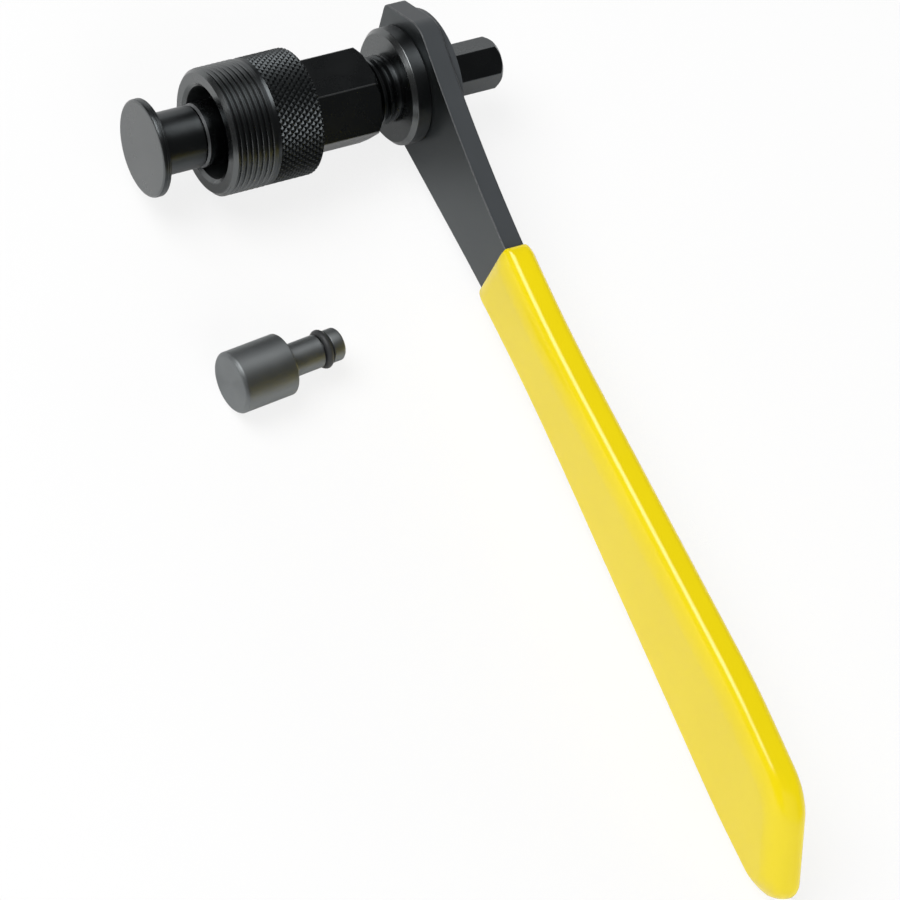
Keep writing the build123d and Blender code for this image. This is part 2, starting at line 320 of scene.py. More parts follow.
rear = rim_at(sleeve, KNURL_START)
rim = carry(sleeve, rim_at(sleeve, RING_FRONT), RING_FRONT, COLLAR_RADIUS - RING_EDGE)
for depth, outwards in CUP_EDGE:
    rim = carry(sleeve, rim, RING_FRONT + depth, CUP_RADIUS + outwards)
rim = carry(sleeve, rim, KNURL_START, CUP_RADIUS)
bmesh.ops.bridge_loops(sleeve, edges=rim + rear)
bmesh.ops.recalc_face_normals(sleeve, faces=sleeve.faces)
for face in sleeve.faces:
    face.material_index = FACED if face.normal.x < -END_FACING else TURNED
join(body, sleeve)

# The knurled collar: 60 diamonds round it, rolled in by two slanted wheels about 0.9 mm from groove
# to groove, chamfered in front and rounded behind.
DIAMONDS = 60
DIAMOND_LENGTH = 1.3
DIAMOND_ROWS = 10
GROOVE_RADIUS = COLLAR_RADIUS - 0.34
POINT = 0.32
COLLAR_CHAMFER = 0.45
CHAMFER_SLOPE = 0.6
COLLAR_ROUND = 0.6
COLLAR_FACE_RADIUS = 9.6
collar = bmesh.new()
rows = [
    collar.verts.new(((KNURL_START + (i - 1.25) * DIAMOND_LENGTH) * MM, GROOVE_RADIUS * MM, 0))
    for i in range(DIAMOND_ROWS)
]
lines = [collar.edges.new(pair) for pair in zip(rows, rows[1:])]
bmesh.ops.spin(
    collar, geom=rows + lines, cent=(0, 0, 0), axis=(1, 0, 0), dvec=(0, 0, 0), angle=math.tau,
    steps=DIAMONDS, use_merge=True,
)
lattice = [edge for edge in collar.edges if not edge.is_boundary]
bmesh.ops.poke(collar, faces=collar.faces[:])
bmesh.ops.dissolve_edges(collar, edges=lattice)
for vert in collar.verts:
    keep_radius(vert, GROOVE_RADIUS)
bmesh.ops.recalc_face_normals(collar, faces=collar.faces)
points = [face for face in collar.faces if len(face.verts) == 4]
bmesh.ops.inset_individual(
    collar, faces=points, thickness=POINT * MM, depth=POINT * MM, use_even_offset=True
)
for station in (COLLAR_CHAMFER, COLLAR_CHAMFER + 0.05):
    cut_at(collar, KNURL_START + station)
for station in (COLLAR_ROUND, 0.4, 0.2, 0.07):
    cut_at(collar, KNURL_END - station)
cut_at(collar, KNURL_START, drop_front=True)
cut_at(collar, KNURL_END, drop_rear=True)
for vert in collar.verts:
    station = vert.co.x / MM
    past = max(station - (KNURL_END - COLLAR_ROUND), 0)
    drop = COLLAR_ROUND - math.sqrt(max(COLLAR_ROUND**2 - past**2, 0))
    keep_radius(vert, min(radius_of(vert), COLLAR_RADIUS - drop))
    if station < KNURL_START + COLLAR_CHAMFER + 0.01:
        keep_radius(vert, RELIEF_RADIUS + CHAMFER_SLOPE * (station - KNURL_START))
for face in collar.faces:
    in_chamfer = face.calc_center_median().x / MM < KNURL_START + COLLAR_CHAMFER
    face.material_index = TURNED if in_chamfer else KNURLED
rear = carry(collar, rim_at(collar, KNURL_END), KNURL_END, COLLAR_FACE_RADIUS)
rim = rim_at(collar, KNURL_START)
for station, radius in (
    (KNURL_START, CUP_RADIUS), (CUP_FLOOR, CUP_RADIUS), (CUP_FLOOR, BORE_RADIUS), (KNURL_END, BORE_RADIUS)
):
    rim = carry(collar, rim, station, radius)
bmesh.ops.bridge_loops(collar, edges=rim + rear)
join(body, collar)


def hexagon_rim(bm, x, flats, turn, rounding):
    """Open hexagon at station x with rounded corners, one of them turned from +Y towards +Z."""
    place = (
        Matrix.Translation((x * MM, 0, 0))
        @ Matrix.Rotation(math.radians(turn), 4, "X")
        @ Matrix.Rotation(math.radians(90), 4, "Y")
    )
    bmesh.ops.create_circle(
        bm, cap_ends=False, radius=flats / math.sqrt(3) * MM, segments=6, matrix=place
    )
    bmesh.ops.bevel(
        bm, geom=bm.verts[:], offset=rounding * math.tan(math.radians(30)) * MM, offset_type="ABSOLUTE",
        affect="VERTICES", segments=4, profile=0.5, material=-1,
    )
    sides = [edge for edge in bm.edges if edge.calc_length() > flats / 4 * MM]
    bmesh.ops.subdivide_edges(bm, edges=sides, cuts=21)
    return bm.edges[:]


def hexagon_bar(bm, start, end, flats, turn, rounding, chamfer):
    """Hexagonal bar whose corners are turned back by 45 degrees at its far end. Returns its two rims."""
    near = hexagon_rim(bm, start, flats, turn, rounding)
    steps = 12
    rim = near
    for i in range(steps + 1):
        rim = carry(bm, rim, end - chamfer * 1.05 * (1 - i / steps))
    corner = flats / math.sqrt(3)
    for vert in bm.verts:
        keep_radius(vert, min(radius_of(vert), corner - chamfer + end - vert.co.x / MM))
    return near, rim


# The wrench hexagon, 15 mm across its flats, with its long edges painted pale: worn steel, and a painted
# highlight along them as well.
WRENCH_TURN = 48.5
CORNER_WEAR_AND_SHEEN_ANGLE = 1.2
BORE_CHAMFER = 0.4
wrench = bmesh.new()
near, rim = hexagon_bar(
    wrench, KNURL_END, BODY_END, flats=15.0, turn=WRENCH_TURN, rounding=0.3, chamfer=0.8
)
# The faces of the rounded long edges take the pale finish: worn steel and a painted highlight.
for face in wrench.faces:
    middle = face.calc_center_median()
    off_corner = (math.degrees(math.atan2(middle.z, middle.y)) - WRENCH_TURN + 30) % 60 - 30
    face.material_index = WORN_SHEEN if abs(off_corner) < CORNER_WEAR_AND_SHEEN_ANGLE else MILLED
rim = carry(wrench, rim, BODY_END, BORE_RADIUS + BORE_CHAMFER)
rim = carry(wrench, rim, BODY_END - BORE_CHAMFER, BORE_RADIUS)
rim = carry(wrench, rim, KNURL_END, BORE_RADIUS)
bmesh.ops.bridge_loops(wrench, edges=rim + near)
join(body, wrench)
finishes = [black_turned, worn_edge_and_sheen, black_milled, black_faced, black_knurled]
hand_over(body, "threaded_body", finishes, "extractor", "extractor_body")


# The drive screw runs through the body: a plain nose with a socket for the push tips, an M12 x 1.25
# thread, a plain neck, a flange that backs the handle and a hexagonal tail. It is turned and milled
# from one bar of steel and blackened with the body.
SCREW_RADIUS = 6.0
NOSE_FRONT = -2.9
NOSE_RADIUS = 5.5
NOSE_CHAMFER = 0.35
NOSE_END = 2.2
NECK_START = 32.9
NECK_RADIUS = 5.6
SCREW_RUN_OUT = 0.2
SOCKET_RADIUS = 3.1
SOCKET_CHAMFER = 0.3
SOCKET_END = 8.6
FLANGE_FRONT = 33.6
FLANGE_RADIUS = 10.2
FLANGE_REAR_CHAMFER = 0.2
BAR_FRONT = 37.0
TAIL_END = 54.5
TAIL_FLATS = 8.0
TAIL_TURN = 86.0

# The flange's front edge is broken, given as (depth behind its front, step in from its rim).
FLANGE_EDGE = ((0, 0.88), (0.03, 0.76), (0.7, 0.1), (0.78, 0.03), (0.9, 0))
screw = bmesh.new()
shaft = bmesh.new()
screw_thread(
    shaft, NOSE_FRONT, FLANGE_FRONT, pitch=1.25, radius=SCREW_RADIUS, depth=0.6, crest=0.4, turn_steps=96
)
for depth in (0.05, NOSE_CHAMFER, NOSE_CHAMFER + 0.1):
    cut_at(shaft, NOSE_FRONT + depth)
for station in (NOSE_END, NECK_START):
    cut_at(shaft, station)
    cut_at(shaft, station + SCREW_RUN_OUT)
for vert in shaft.verts:
    station = vert.co.x / MM
    if station < NOSE_FRONT + NOSE_CHAMFER:
        keep_radius(vert, NOSE_RADIUS - NOSE_CHAMFER + max(station - NOSE_FRONT, 0))
    elif station < NOSE_END + SCREW_RUN_OUT / 2:
        keep_radius(vert, NOSE_RADIUS)
    elif station > NECK_START + SCREW_RUN_OUT / 2:
        keep_radius(vert, NECK_RADIUS)
rear = rim_at(shaft, FLANGE_FRONT)
rim = carry(shaft, rim_at(shaft, NOSE_FRONT), NOSE_FRONT, SOCKET_RADIUS + SOCKET_CHAMFER)
rim = carry(shaft, rim, NOSE_FRONT + SOCKET_CHAMFER, SOCKET_RADIUS)
rim = carry(shaft, rim, SOCKET_END, SOCKET_RADIUS)
bmesh.ops.edgeloop_fill(shaft, edges=rim)
rim = rear
for depth, inwards in FLANGE_EDGE:
    rim = carry(shaft, rim, FLANGE_FRONT + depth, FLANGE_RADIUS - inwards)
rim = carry(shaft, rim, BAR_FRONT - FLANGE_REAR_CHAMFER, FLANGE_RADIUS)
rim = carry(shaft, rim, BAR_FRONT, FLANGE_RADIUS - FLANGE_REAR_CHAMFER)
bmesh.ops.edgeloop_fill(shaft, edges=rim)
bmesh.ops.recalc_face_normals(shaft, faces=shaft.faces)

# The rolled thread and the nose are as smooth as milled flats, and the nose's edge takes the pale edge
# finish as a painted highlight on its chamfer.
for face in shaft.faces:
    middle = face.calc_center_median() / MM
    if middle.x < NOSE_FRONT + NOSE_CHAMFER and middle.yz.length > NOSE_RADIUS - 0.5:
        face.material_index = WORN_SHEEN
    elif middle.x < NECK_START + SCREW_RUN_OUT:
        face.material_index = MILLED
    elif middle.x < BAR_FRONT - 1 and face.normal.x < -END_FACING:
        face.material_index = FACED
join(screw, shaft)

tail = bmesh.new()
near, rim = hexagon_bar(
    tail, BAR_FRONT - 0.5, TAIL_END, TAIL_FLATS, TAIL_TURN, rounding=0.35, chamfer=0.8
)
bmesh.ops.edgeloop_fill(tail, edges=rim)
bmesh.ops.edgeloop_fill(tail, edges=near)
for face in tail.faces:
    face.material_index = MILLED
join(screw, tail)
finishes = [black_turned, worn_edge_and_sheen, black_milled, black_faced]
hand_over(screw, "drive_screw", finishes, "drive", "drive_spindle")


# The handle bar is stamped from 3.7 mm steel strip: a cut-cornered head, a waist and a slanted end.
# It drops over the screw's tail against the flange, on a hexagonal hole, and is blackened too. Places
# on its outline are (y, z), and slopes are in degrees from Y.
BAR_THICKNESS = 3.7
BAR_BACK = BAR_FRONT + BAR_THICKNESS
BAR_EDGE_WEAR_AND_SHEEN = 0.22
HEX_PLAY = 0.06
HEX_ROUND = 0.1
HEAD_CORNER = (12.35, 6.6)
HEAD_PEAK = (3.0, 13.9)
HEEL = (0, -10.1)
UPPER_BULGE = (-124.0, 10.0)
LOWER_BULGE = (-136.0, -10.7)
BAR_END = -146.5
HEAD_SLOPE = 77.4
SHOULDER_SLOPE = 14.0
HEEL_SLOPE = -5.2
FLARE_SLOPE = 3.5
LOWER_END_SLOPE = -1.0
END_SLOPE = 58.5


def strip_steel(name, dark, light, metal, start_rough, end_rough):
    """Dark steel strip with a fine grain of about 0.3 mm and broad soft patches some 9 mm wide."""
    made, tree, shader, place = finish_named(name)
    grain = patches(tree, place, 0.3, 2.0)
    patch = patches(tree, place, 9, 3.0)
    shader.inputs["Metallic"].default_value = metal
    shader.inputs["IOR"].default_value = 1.3
    tree.links.new(blend(tree, patch, dark, light), shader.inputs["Base Color"])
    tree.links.new(vary(tree, patch, start_rough, end_rough), shader.inputs["Roughness"])
    tree.links.new(relief(tree, grain, 0.002), shader.inputs["Normal"])
    return made


# Black oxide on stamped and tumbled strip edges: the same dark coat, but matt and even to the eye.
black_strip = strip_steel("black_oxide_stamped_steel", "#3e4143", "#45484b", 0, 0.4, 0.46)

# Black oxide on the strip's rolled faces: smoother than the edges, a satin mirror that shows the white
# table as grey and darkens where the flange is mirrored in it.
black_rolled = strip_steel("black_oxide_rolled_steel", "#45494a", "#4b4f51", 0.9, 0.3, 0.36)
ROLLED = 2


def crossing(point_a, angle_a, point_b, angle_b):
    """Point in the bar's plane where two lines meet, each given by a point and its angle."""
    line_a = Vector((math.cos(math.radians(angle_a)), math.sin(math.radians(angle_a))))
    line_b = Vector((math.cos(math.radians(angle_b)), math.sin(math.radians(angle_b))))
    apart = Vector(point_b) - Vector(point_a)
    return Vector(point_a) + line_a * (apart.cross(line_b) / line_a.cross(line_b))


def bar_rim(bm, x, grow=0, longer=0, lift=0, blunt=0):
    """The bar's closed outline at station x, grown all round, longer, lifted and blunter at its tip."""
    known = set(bm.edges)
    end_middle = (BAR_END - longer, 0)
    corners = [
        (HEAD_CORNER, 1.8),
        (HEAD_PEAK, 5.0),
        (crossing(HEAD_PEAK, SHOULDER_SLOPE, UPPER_BULGE, -FLARE_SLOPE), 200.0),
        (UPPER_BULGE, 100.0),
        (crossing(UPPER_BULGE, FLARE_SLOPE, end_middle, END_SLOPE), 9.0),
        (crossing(LOWER_BULGE, LOWER_END_SLOPE, end_middle, END_SLOPE), 2.7 + blunt),
        (LOWER_BULGE, 100.0),
        (crossing(HEEL, HEEL_SLOPE, LOWER_BULGE, FLARE_SLOPE), 300.0),
        (crossing(HEEL, HEEL_SLOPE, HEAD_CORNER, HEAD_SLOPE), 5.0),
    ]
    points = [Vector(point) for point, radius in corners]
    ends = []
    for i, (point, radius) in enumerate(corners):
        back = (points[i - 1] - points[i]).normalized()
        onward = (points[(i + 1) % len(points)] - points[i]).normalized()
        half = back.angle(onward) / 2
        side = math.copysign(1, onward.cross(back))
        middle = points[i] + (back + onward).normalized() * radius / math.sin(half)
        start = points[i] + back * radius / math.tan(half)
        start = middle + (start - middle).normalized() * (radius + side * grow)
        first = bm.verts.new((x * MM, start.x * MM, (start.y + lift) * MM))
        turn = math.pi - 2 * half
        arc = bmesh.ops.spin(
            bm, geom=[first], cent=(0, middle.x * MM, (middle.y + lift) * MM), axis=(1, 0, 0),
            dvec=(0, 0, 0), angle=side * turn, steps=max(8, round(turn * radius / 2)),
        )
        ends.append((first, verts_in(arc["geom_last"])[0]))
    for i in range(len(ends)):
        bm.edges.new((ends[i - 1][1], ends[i][0]))
    return [edge for edge in bm.edges if edge not in known]


bar = bmesh.new()
hexagon_rim(bar, BAR_FRONT, TAIL_FLATS + HEX_PLAY, TAIL_TURN, HEX_ROUND)
bar_rim(bar, BAR_FRONT)
bmesh.ops.triangle_fill(bar, edges=bar.edges[:], use_beauty=True)
grown = bmesh.ops.extrude_face_region(bar, geom=bar.faces[:])["geom"]
bmesh.ops.translate(bar, verts=verts_in(grown), vec=(BAR_THICKNESS * MM, 0, 0))
bmesh.ops.recalc_face_normals(bar, faces=bar.faces)
outer_edges = [
    edge for edge in bar.edges
    if edge.calc_face_angle() > math.radians(60) and all(radius_of(vert) > TAIL_FLATS for vert in edge.verts)
]
edge_wear_and_sheen_bevel = bmesh.ops.bevel(
    bar, geom=outer_edges, offset=BAR_EDGE_WEAR_AND_SHEEN * MM, offset_type="OFFSET", affect="EDGES", segments=3,
    profile=0.5, material=-1,
)
for face in bar.faces:
    face.material_index = ROLLED if abs(face.normal.x) > 0.99 else 0
# The rounded outer edges take the pale finish: worn black, and a painted highlight along the bar's ridges.
for face in edge_wear_and_sheen_bevel["faces"]:
    face.material_index = WORN_SHEEN
finishes = [black_strip, worn_edge_and_sheen, black_rolled]
hand_over(bar, "handle_bar_strip", finishes, "drive", "handle_bar")


# The grip is a coat of soft vinyl about 1.2 mm thick. The bar's far part is heated, dipped in the
# liquid plastic and baked, which leaves an even glossy skin with round edges and a round lip, thicker
# at the bar's end, where the dip hung and ran off.
COAT = 1.2
COAT_TIP = 2.57
COAT_FRONT = BAR_FRONT - COAT
COAT_BACK = BAR_BACK + COAT
LINING_GAP = 0.02
GRIP_START = -37.6

# Dipped vinyl (plasticised PVC): deep yellow and wet-looking, with faint waves some 14 mm long that
# bend the highlights a little, and a fine peel of about 2.5 mm.
dipped_vinyl, tree, shader, place = finish_named("dipped_yellow_vinyl")
wave = patches(tree, place, 14, 1.0)
peel = patches(tree, place, 2.5, 1.0)
skin = relief(tree, peel, 0.004, Normal=relief(tree, wave, 0.12))
shader.inputs["IOR"].default_value = 1.52
tree.links.new(blend(tree, wave, "#ead206", "#efd80a"), shader.inputs["Base Color"])
tree.links.new(vary(tree, peel, 0.2, 0.25), shader.inputs["Roughness"])
tree.links.new(skin, shader.inputs["Normal"])


def cut_mouth(bm, station):
    """Cut the grip square at the given distance along the bar, and return the open rim."""
    bmesh.ops.bisect_plane(
        bm, geom=bm.verts[:] + bm.edges[:] + bm.faces[:], dist=1e-7, plane_co=(0, station * MM, 0),
        plane_no=(0, 1, 0), clear_outer=True,
    )
    return [edge for edge in bm.edges if edge.is_boundary]


def spread(edges, axis):
    """Least and greatest coordinate of some edges along an axis, in mm."""
    places = [vert.co[axis] / MM for edge in edges for vert in edge.verts]
    return min(places), max(places)


def stack(bm, rims):
    """Close a stack of outlines into a skin."""
    for near, far in zip(rims, rims[1:]):
        bmesh.ops.bridge_loops(bm, edges=near + far)
    bmesh.ops.edgeloop_fill(bm, edges=rims[0])
    bmesh.ops.edgeloop_fill(bm, edges=rims[-1])


# The skin is a stack of bar outlines from front to back. In front the upper edge is broad and crowned,
# the lower one tight, and the end one long curve, blunt at its lower tip, where the dip dripped off.
# Each row of the profile is (depth, step in at the upper edge, step in at the lower edge).
FRONT_DEEP = 2.1
UPPER_BROAD = 5.0
LOWER_BROAD = 1.8
END_ROUND = 4.8
BACK_ROUND = 2.0
BACK_FROM = 4.0
TIP_BLUNT = 1.6
FRONT_STEPS = 8
SIDE_DEPTHS = (2.5, 2.9, 3.3, 3.7)
BACK_STEPS = 6
profile = []
for step in range(FRONT_STEPS + 1):
    angle = math.radians(90 * step / FRONT_STEPS)
    share = 1 - math.sin(angle)
    profile.append((FRONT_DEEP * (1 - math.cos(angle)), UPPER_BROAD * share, LOWER_BROAD * share))
profile += [(depth, 0, 0) for depth in SIDE_DEPTHS]
for step in range(BACK_STEPS + 1):
    angle = math.radians(90 * step / BACK_STEPS)
    inwards = BACK_ROUND * (1 - math.cos(angle))
    profile.append((COAT_BACK - COAT_FRONT - BACK_ROUND * (1 - math.sin(angle)), inwards, inwards))
coat = bmesh.new()
rims = []
for depth, upper, lower in profile:
    end = 0
    if depth < END_ROUND:
        end = END_ROUND - math.sqrt(max(END_ROUND**2 - (END_ROUND - depth) ** 2, 0))
    if depth > BACK_FROM:
        end += upper
    middle = (upper + lower) / 2
    lift = (lower - upper) / 2
    end_angle = math.radians(END_SLOPE)
    longer = COAT_TIP + (middle - end - lift * math.cos(end_angle)) / math.sin(end_angle)
    blunt = max(TIP_BLUNT - depth, 0)
    rims.append(bar_rim(coat, COAT_FRONT + depth, COAT - middle, longer, lift, blunt))
stack(coat, rims)

# The lip: over its last 2.6 mm the coat thins in a round curve to 0.25 mm, and its edges tighten with it.
LIP_LENGTH = 2.6
LIP_THICKNESS = 0.25
LIP_STEPS = (2.2, 1.7, 1.2, 0.8, 0.45, 0.2, 0.06, 0)
low_end, high_end = spread(cut_mouth(coat, GRIP_START), 2)
rim = cut_mouth(coat, GRIP_START - LIP_LENGTH)
low_start, high_start = spread(rim, 2)
thick = COAT
for depth in LIP_STEPS:
    was_x, was_z = spread(rim, 0), spread(rim, 2)
    was_thick = thick
    along = 1 - depth / LIP_LENGTH
    thick = LIP_THICKNESS + (COAT - LIP_THICKNESS) * math.sqrt(max(1 - along**2, 0))
    thinned = COAT - thick
    now_x = (COAT_FRONT + thinned, COAT_BACK - thinned)
    now_z = (
        low_start + (low_end - low_start) * along + thinned,
        high_start + (high_end - high_start) * along - thinned,
    )
    fresh, rim = grow_rim(coat, rim)
    for vert in fresh:
        vert.co.y = (GRIP_START - depth) * MM
        for axis, was, now in ((0, was_x, now_x), (2, was_z, now_z)):
            place = vert.co[axis] / MM
            side = 0 if place < sum(was) / 2 else 1
            vert.co[axis] = (now[side] + (place - was[side]) * thick / was_thick) * MM

# The lining follows the bar.
lining = bmesh.new()
stack(lining, [
    bar_rim(lining, BAR_FRONT - LINING_GAP, LINING_GAP), bar_rim(lining, BAR_BACK + LINING_GAP, LINING_GAP)
])
cut_mouth(lining, GRIP_START)
join(coat, lining)
mouth = [edge for edge in coat.edges if edge.is_boundary]
bmesh.ops.triangle_fill(coat, edges=mouth, use_beauty=True)
bmesh.ops.recalc_face_normals(coat, faces=coat.faces)
hand_over(coat, "dipped_grip", [dipped_vinyl], "drive", "grip_sleeve")


# The washer is punched from 1.5 mm strip and tumbled, so its rim is soft. It sits on the tail behind
# the bar's head and the tail is staked against it, which holds the handle on. Its rim is given as
# (station, step in from its radius).
WASHER_FRONT = BAR_BACK
WASHER_BACK = WASHER_FRONT + 1.5
WASHER_RADIUS = 12.19
WASHER_RIM = (
    (WASHER_FRONT, 0.1),
    (WASHER_FRONT + 0.1, 0),
    (WASHER_BACK - 0.35, 0),
    (WASHER_BACK - 0.1, 0.1),
    (WASHER_BACK, 0.35),
)
washer = bmesh.new()
near = hexagon_rim(washer, WASHER_FRONT, TAIL_FLATS + HEX_PLAY, TAIL_TURN, HEX_ROUND)
far = carry(washer, near, WASHER_BACK)
rim = near
for station, inwards in WASHER_RIM:
    rim = carry(washer, rim, station, WASHER_RADIUS - inwards)
bmesh.ops.bridge_loops(washer, edges=rim + far)
bmesh.ops.recalc_face_normals(washer, faces=washer.faces)
hand_over(washer, "staked_washer", [black_strip], "drive", "retaining_washer")


# The mounted push tip is a wide disc on a shank, for splined axles. It is turned from steel bar and
# blackened, and its stem turns freely in the screw's nose, where a rubber ring holds it.
DISC_FRONT = -12.7
DISC_REAR = -11.3
DISC_RADIUS = 8.4
RIM_GROOVES = (-11.97, -11.61)
RIM_GROOVE_HALF = 0.05
RIM_GROOVE_DEPTH = 0.06
SHANK_RADIUS = 5.35
SHANK_CHAMFER = 0.3
SHANK_REAR = -3.0
STEM_RADIUS = 2.85
STEM_LENGTH = 10.9
STEM_CHAMFER = 0.4
GROOVE_FRONT = STEM_LENGTH - 4.2
GROOVE_REAR = STEM_LENGTH - 2.3
GROOVE_FLOOR = 2.0


def turned_shell(bm, outline, steps):
    """Round the corners of an (x, radius, rounding) outline and spin it once round the X axis."""
    chain = [bm.verts.new((x * MM, radius * MM, 0)) for x, radius, rounding in outline]
    for pair in zip(chain, chain[1:]):
        bm.edges.new(pair)
    for vert, (x, radius, rounding) in zip(chain, outline):
        if rounding:
            bmesh.ops.bevel(
                bm, geom=[vert], offset=rounding * MM, offset_type="ABSOLUTE", affect="VERTICES",
                segments=5, profile=0.5, material=-1,
            )
    bmesh.ops.spin(
        bm, geom=bm.verts[:] + bm.edges[:], cent=(0, 0, 0), axis=(1, 0, 0), dvec=(0, 0, 0),
        angle=math.tau, steps=steps, use_merge=True,
    )
    bmesh.ops.remove_doubles(bm, verts=bm.verts, dist=0.001 * MM)
    bmesh.ops.recalc_face_normals(bm, faces=bm.faces)


def stem_outline(start):
    """Outline of a push tip's stem, from its shoulder back to the middle of its end."""
    end = start + STEM_LENGTH
    return [
        (start, STEM_RADIUS, 0.1),
        (start + GROOVE_FRONT, STEM_RADIUS, 0.12),
        (start + GROOVE_FRONT, GROOVE_FLOOR, 0.12),
        (start + GROOVE_REAR, GROOVE_FLOOR, 0.12),
        (start + GROOVE_REAR, STEM_RADIUS, 0.12),
        (end - STEM_CHAMFER, STEM_RADIUS, 0.15),
        (end, STEM_RADIUS - STEM_CHAMFER, 0.15),
        (end, 0, 0),
    ]


outline = [(DISC_FRONT, 0, 0), (DISC_FRONT, DISC_RADIUS, 0.5)]
for middle in RIM_GROOVES:
    outline += [
        (middle - RIM_GROOVE_HALF, DISC_RADIUS, 0),
        (middle, DISC_RADIUS - RIM_GROOVE_DEPTH, 0),
        (middle + RIM_GROOVE_HALF, DISC_RADIUS, 0),
    ]
outline += [
    (DISC_REAR, DISC_RADIUS, 0.15),
    (DISC_REAR, SHANK_RADIUS, 0.25),
    (SHANK_REAR - SHANK_CHAMFER, SHANK_RADIUS, 0.1),
    (SHANK_REAR, SHANK_RADIUS - SHANK_CHAMFER, 0.1),
]
tip = bmesh.new()
turned_shell(tip, outline + stem_outline(SHANK_REAR), 128)
for face in tip.faces:
    face.material_index = 1 if abs(face.normal.x) > END_FACING else 0
hand_over(tip, "splined_axle_tip", [black_turned, black_faced], "tip", "spline_tip")


# A nitrile rubber ring sits in the groove of each stem. It is moulded round, and squeezed oval where
# the stem is pushed into its socket.
GROOVE_MIDDLE = (GROOVE_FRONT + GROOVE_REAR) / 2
RING_INNER = 2.03
RING_CORD = 1.35

# Moulded nitrile rubber: dark grey and matt, with a dusting of paler specks about 0.4 mm across.
nitrile = clouded("moulded_nitrile_rubber", "#232425", "#343637", 0.4, 3.0, 0.45, 0.6, 0)


def rubber_ring(middle, outer):
    """A ring round the X axis at station middle whose section is as big as the round cord's."""
    bm = bmesh.new()
    tall = (outer - RING_INNER) / 2
    wide = RING_CORD**2 / 4 / tall
    section = Matrix.Translation((middle * MM, (RING_INNER + outer) / 2 * MM, 0))
    section @= Matrix.Diagonal((wide, tall, 1, 1))
    bmesh.ops.create_circle(bm, cap_ends=False, radius=MM, segments=20, matrix=section)
    bmesh.ops.spin(
        bm, geom=bm.verts[:] + bm.edges[:], cent=(0, 0, 0), axis=(1, 0, 0), dvec=(0, 0, 0),
        angle=math.tau, steps=72, use_merge=True,
    )
    bmesh.ops.recalc_face_normals(bm, faces=bm.faces)
    return bm


ring = rubber_ring(SHANK_REAR + GROOVE_MIDDLE, 3.05)
hand_over(ring, "splined_axle_tip_ring", [nitrile], "tip", "spline_tip_ring")


# The second push tip, for square axles, lies loose beside the tool: a short round head on the same
# stem, turned from steel bar and left with a grey phosphate skin.
SPARE_TURN = 5.4
SPARE_SETBACK = Matrix.Rotation(math.radians(SPARE_TURN), 3, "Z") @ Vector((-0.35, 0, 0))
SPARE_SHOULDER = Vector((-2.3, -41.1, -6.85)) + SPARE_SETBACK
SPARE_FRONT = -10.2
SPARE_RADIUS = 5.348
SPARE_FACE_RADIUS = 4.85
SPARE_REAR_RADIUS = 5.15

# Phosphated steel: mid-grey satin, soft highlights, and lathe rings about 0.3 mm apart.
grey_turned = turned_steel(
    "phosphated_turned_steel", "#7b7f80", "#848788", 0.55, 0.5, 0.3, 0.003, SPARE_SHOULDER, SPARE_TURN
)


def lay_down(bm):
    """Lay a piece of the loose tip on the table, turned as it lies."""
    place = Matrix.Translation(SPARE_SHOULDER * MM) @ Matrix.Rotation(math.radians(SPARE_TURN), 4, "Z")
    bmesh.ops.transform(bm, matrix=place, verts=bm.verts)


outline = [
    (SPARE_FRONT, 0, 0),
    (SPARE_FRONT, SPARE_FACE_RADIUS, 0.2),
    (SPARE_FRONT + 0.5, SPARE_RADIUS, 0.2),
    (-0.2, SPARE_RADIUS, 0.1),
    (0, SPARE_REAR_RADIUS, 0.1),
]
spare = bmesh.new()
turned_shell(spare, outline + stem_outline(0), 112)
lay_down(spare)
hand_over(spare, "square_axle_tip", [grey_turned], "extractor", "square_taper_tip")

ring = rubber_ring(GROOVE_MIDDLE, 3.38)
lay_down(ring)
hand_over(ring, "square_axle_tip_ring", [nitrile], "extractor", "square_taper_ring")


# The table is a broad sheet of thin white paper over a white room. The camera sees most of the room
# through it, so that it stays as white as a catalogue page and keeps only a faint shadow of the tool,
# and a handle that is turned below the table still shows. The metal mirrors it a little whiter than lit.
CLEAR_TO_CAMERA = 0.82
WHITE_IN_METAL = 0.2
TABLE_HALF = 4.0
paper, tree, shader, place = finish_named("white_paper_sheet")
fibre = patches(tree, place, 20, 2.0)
tree.links.new(blend(tree, fibre, "#f3f3f3", "#f6f6f6"), shader.inputs["Base Color"])
shader.inputs["Roughness"].default_value = 0.9
shader.inputs["Specular IOR Level"].default_value = 0.2
path = knot(tree, "ShaderNodeLightPath", {}).outputs
mirrored = knot(
    tree, "ShaderNodeMath", {0: path["Is Glossy Ray"], 1: path["Is Transmission Ray"]}, operation="ADD"
).outputs[0]
share = knot(tree, "ShaderNodeMath", {0: mirrored, 1: WHITE_IN_METAL}, operation="MULTIPLY").outputs[0]
white = knot(tree, "ShaderNodeEmission", {"Color": (1, 1, 1, 1), "Strength": 1.0}).outputs["Emission"]
mixed = knot(tree, "ShaderNodeMixShader", {0: share, 1: shader.outputs["BSDF"], 2: white}).outputs["Shader"]
share = knot(
    tree, "ShaderNodeMath", {0: path["Is Camera Ray"], 1: CLEAR_TO_CAMERA, 2: path["Is Shadow Ray"]},
    operation="MULTIPLY_ADD",
).outputs[0]
clear = knot(tree, "ShaderNodeBsdfTransparent", {}).outputs["BSDF"]
mixed = knot(tree, "ShaderNodeMixShader", {0: share, 1: mixed, 2: clear}).outputs["Shader"]
tree.links.new(mixed, tree.nodes["Material Output"].inputs["Surface"])
sheet = bmesh.new()
floor = Matrix.Translation((0, 0, solid_low.z))
bmesh.ops.create_grid(sheet, x_segments=1, y_segments=1, size=TABLE_HALF, matrix=floor)
mesh = bpy.data.meshes.new("paper_table")
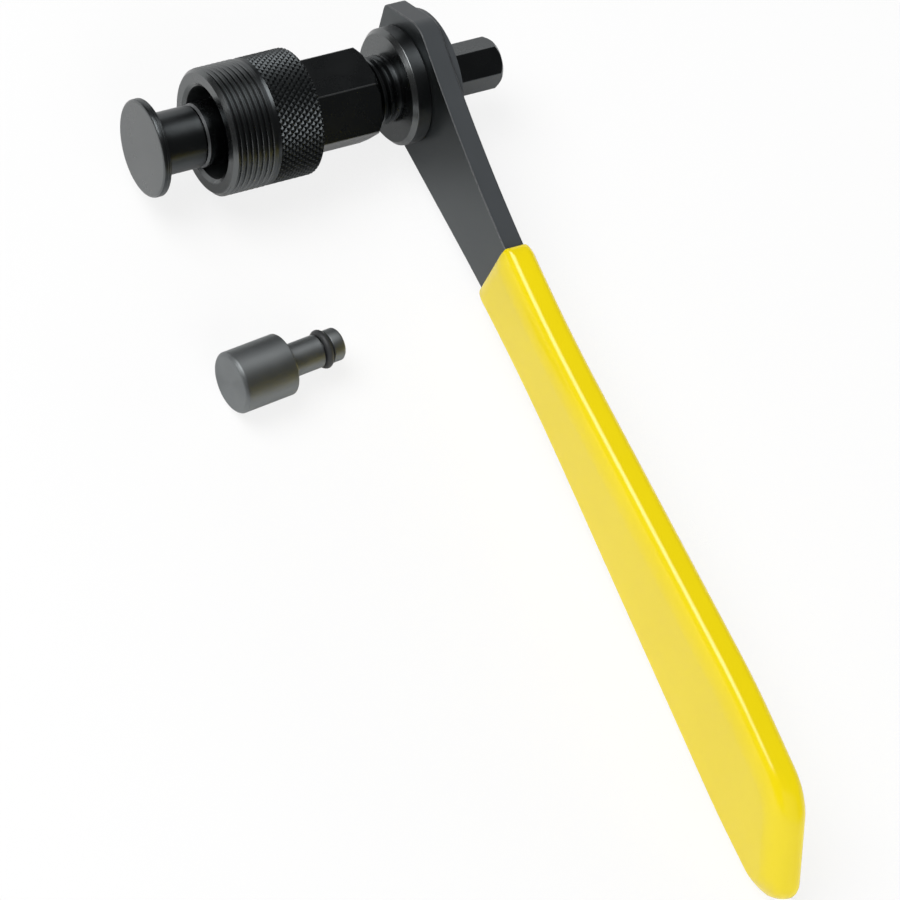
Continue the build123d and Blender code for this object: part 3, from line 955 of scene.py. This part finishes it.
sheet.to_mesh(mesh)
sheet.free()
mesh.materials.append(paper)
table = bpy.data.objects.new("paper_table", mesh)
bpy.context.scene.collection.objects.link(table)


# The studio: a key softbox up on the left, which draws the lines along the ridges, a fill in front and
# one behind that only light, a white backdrop that the round steel mirrors, and a dim room that is
# white to the camera alone.
ROOM_LEVEL = 0.1
TOOL_MIDDLE = Vector((20, -50, 0)) * MM


def softbox(name, direction, distance, width, height, radiance, mirrored=True):
    """A soft lamp, sized in metres, that the tool sees in a direction and that is aimed at its middle."""
    lamp = bpy.data.lights.new(name, "AREA")
    lamp.shape = "RECTANGLE"
    lamp.size = width
    lamp.size_y = height
    lamp.energy = radiance * math.pi * width * height
    made = bpy.data.objects.new(name, lamp)
    made.location = TOOL_MIDDLE + Vector(direction).normalized() * distance
    made.rotation_mode = "QUATERNION"
    made.rotation_quaternion = Vector(direction).to_track_quat("Z", "Y")
    made.visible_camera = False
    made.visible_glossy = mirrored
    bpy.context.scene.collection.objects.link(made)


softbox("key_softbox", (-0.47, 0.33, 0.82), 0.9, 0.6, 0.6, 6.9)
softbox("near_fill", (-0.15, -0.9, 0.4), 1.0, 0.9, 0.9, 2.2, mirrored=False)
softbox("rear_fill", (0.95, -0.25, 0.2), 1.0, 0.9, 0.3, 5.0, mirrored=False)
softbox("white_backdrop", (0.43, 0.9, 0.12), 1.2, 1.4, 0.5, 1.1)

room = bpy.data.worlds.new("dim_studio_room")
room.use_nodes = True
tree = room.node_tree
path = knot(tree, "ShaderNodeLightPath", {}).outputs
level = knot(
    tree, "ShaderNodeMath", {0: path["Is Camera Ray"], 1: 1 - ROOM_LEVEL, 2: ROOM_LEVEL},
    operation="MULTIPLY_ADD",
).outputs[0]
tree.nodes["Background"].inputs["Color"].default_value = (1, 1, 1, 1)
tree.links.new(level, tree.nodes["Background"].inputs["Strength"])
bpy.context.scene.world = room


# The camera stands high on the left with a long lens, so that the tool is seen almost without
# perspective, and is rolled by about 32 degrees.
AIM = Vector((21.44, -61.72, -12.67))
DISTANCE = 834.5
azimuth, elevation, roll = math.radians(-52.5), math.radians(57.4), math.radians(31.64)
back = Vector((
    math.sin(azimuth) * math.cos(elevation), -math.cos(azimuth) * math.cos(elevation), math.sin(elevation)
))
lens = bpy.data.cameras.new("camera")
lens.lens = 200
lens.sensor_width = 36
camera = bpy.data.objects.new("camera", lens)
camera.rotation_mode = "QUATERNION"
camera.location = (AIM + back * DISTANCE) * MM
camera.rotation_quaternion = (-back).to_track_quat("-Z", "Y") @ Quaternion((0, 0, 1), roll)
bpy.context.scene.collection.objects.link(camera)
bpy.context.scene.camera = camera
bpy.context.scene.view_settings.view_transform = "Standard"
